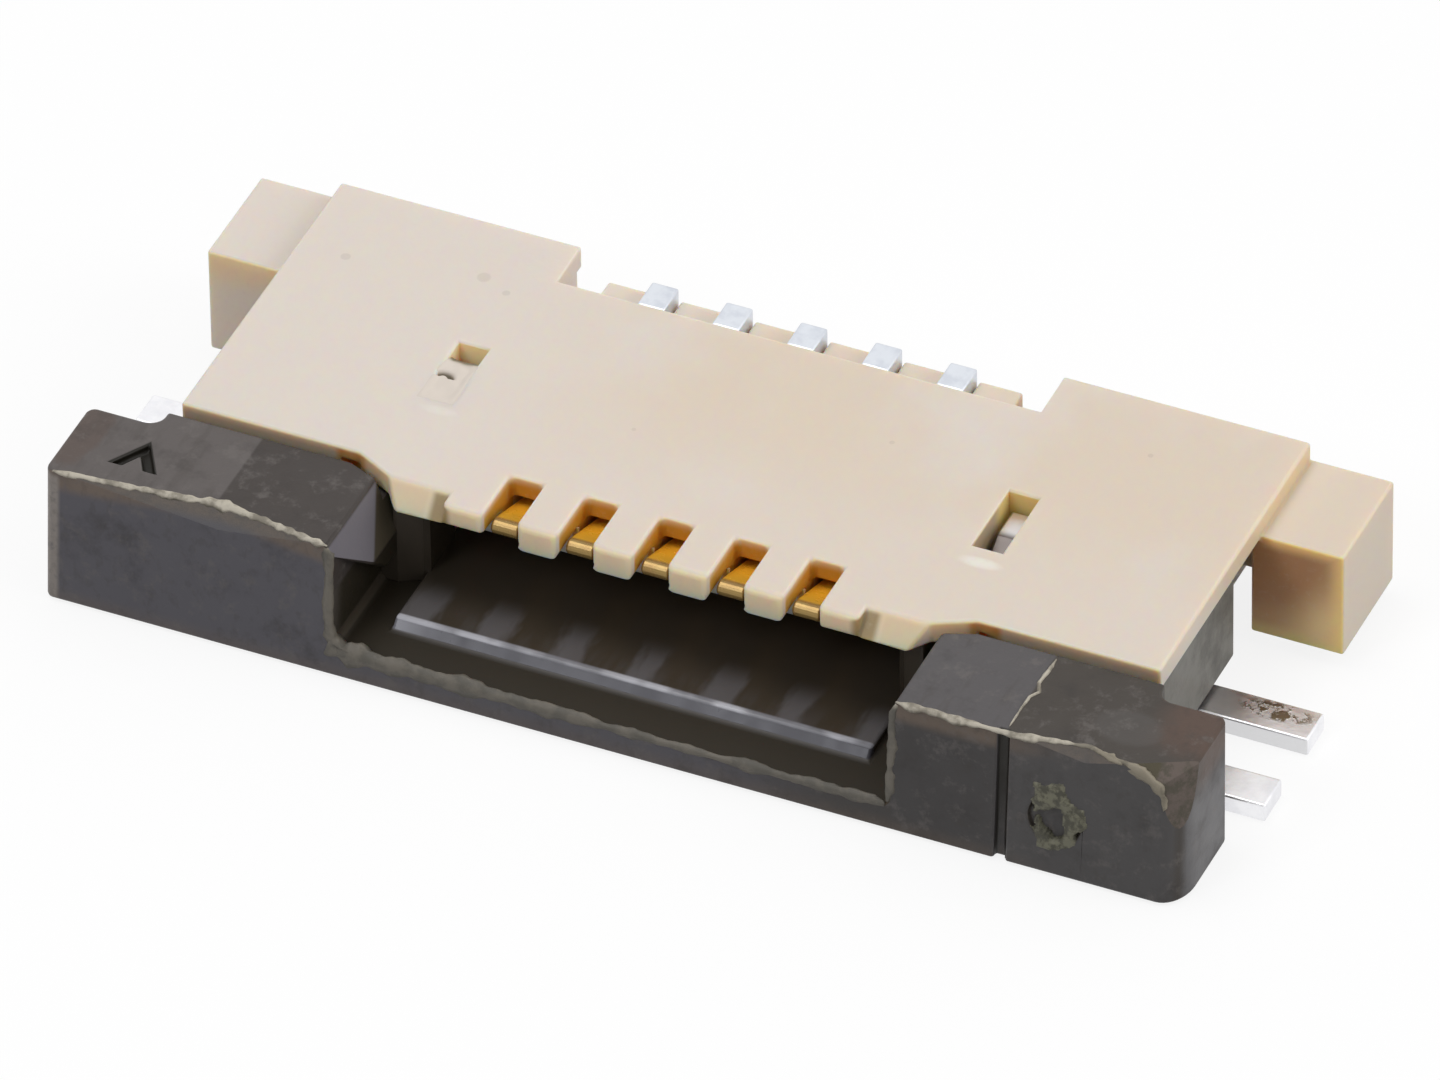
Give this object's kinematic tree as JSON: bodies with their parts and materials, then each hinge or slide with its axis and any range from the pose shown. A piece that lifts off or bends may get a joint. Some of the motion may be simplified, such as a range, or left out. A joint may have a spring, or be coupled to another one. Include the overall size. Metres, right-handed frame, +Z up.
{
  "type": "flat cable connector",
  "caption": "Low right-angle surface-mount socket for a fine-pitch flat cable: beige housing, gold spring contacts above the cable and a dark slider that locks it.",
  "frame": {"origin": "middle of the footprint of the whole part, slider pushed home, on the board plane", "axes": "+X along the row of contacts, to the right seen from the cable side; +Y away from the cable mouth, towards the tails; +Z up from the board"},
  "size_m": [0.0078, 0.0038, 0.001],
  "materials": {
    "housing": "moulded satin",
    "slider": "moulded satin",
    "contact": "gold plated",
    "solder_tab": "tin plated"
  },
  "bodies": {
    "housing": {"housing": "housing", "contact_1": "contact", "contact_2": "contact", "contact_3": "contact", "contact_4": "contact", "contact_5": "contact", "solder_tab_left": "solder_tab", "solder_tab_right": "solder_tab"},
    "slider": {"slider": "slider"}
  },
  "joints": [
    {"name": "slider_slide", "type": "slide", "parent": "housing", "child": "slider", "axis": [0, -1, 0], "range_m": [0, 0.0007]}
  ]
}
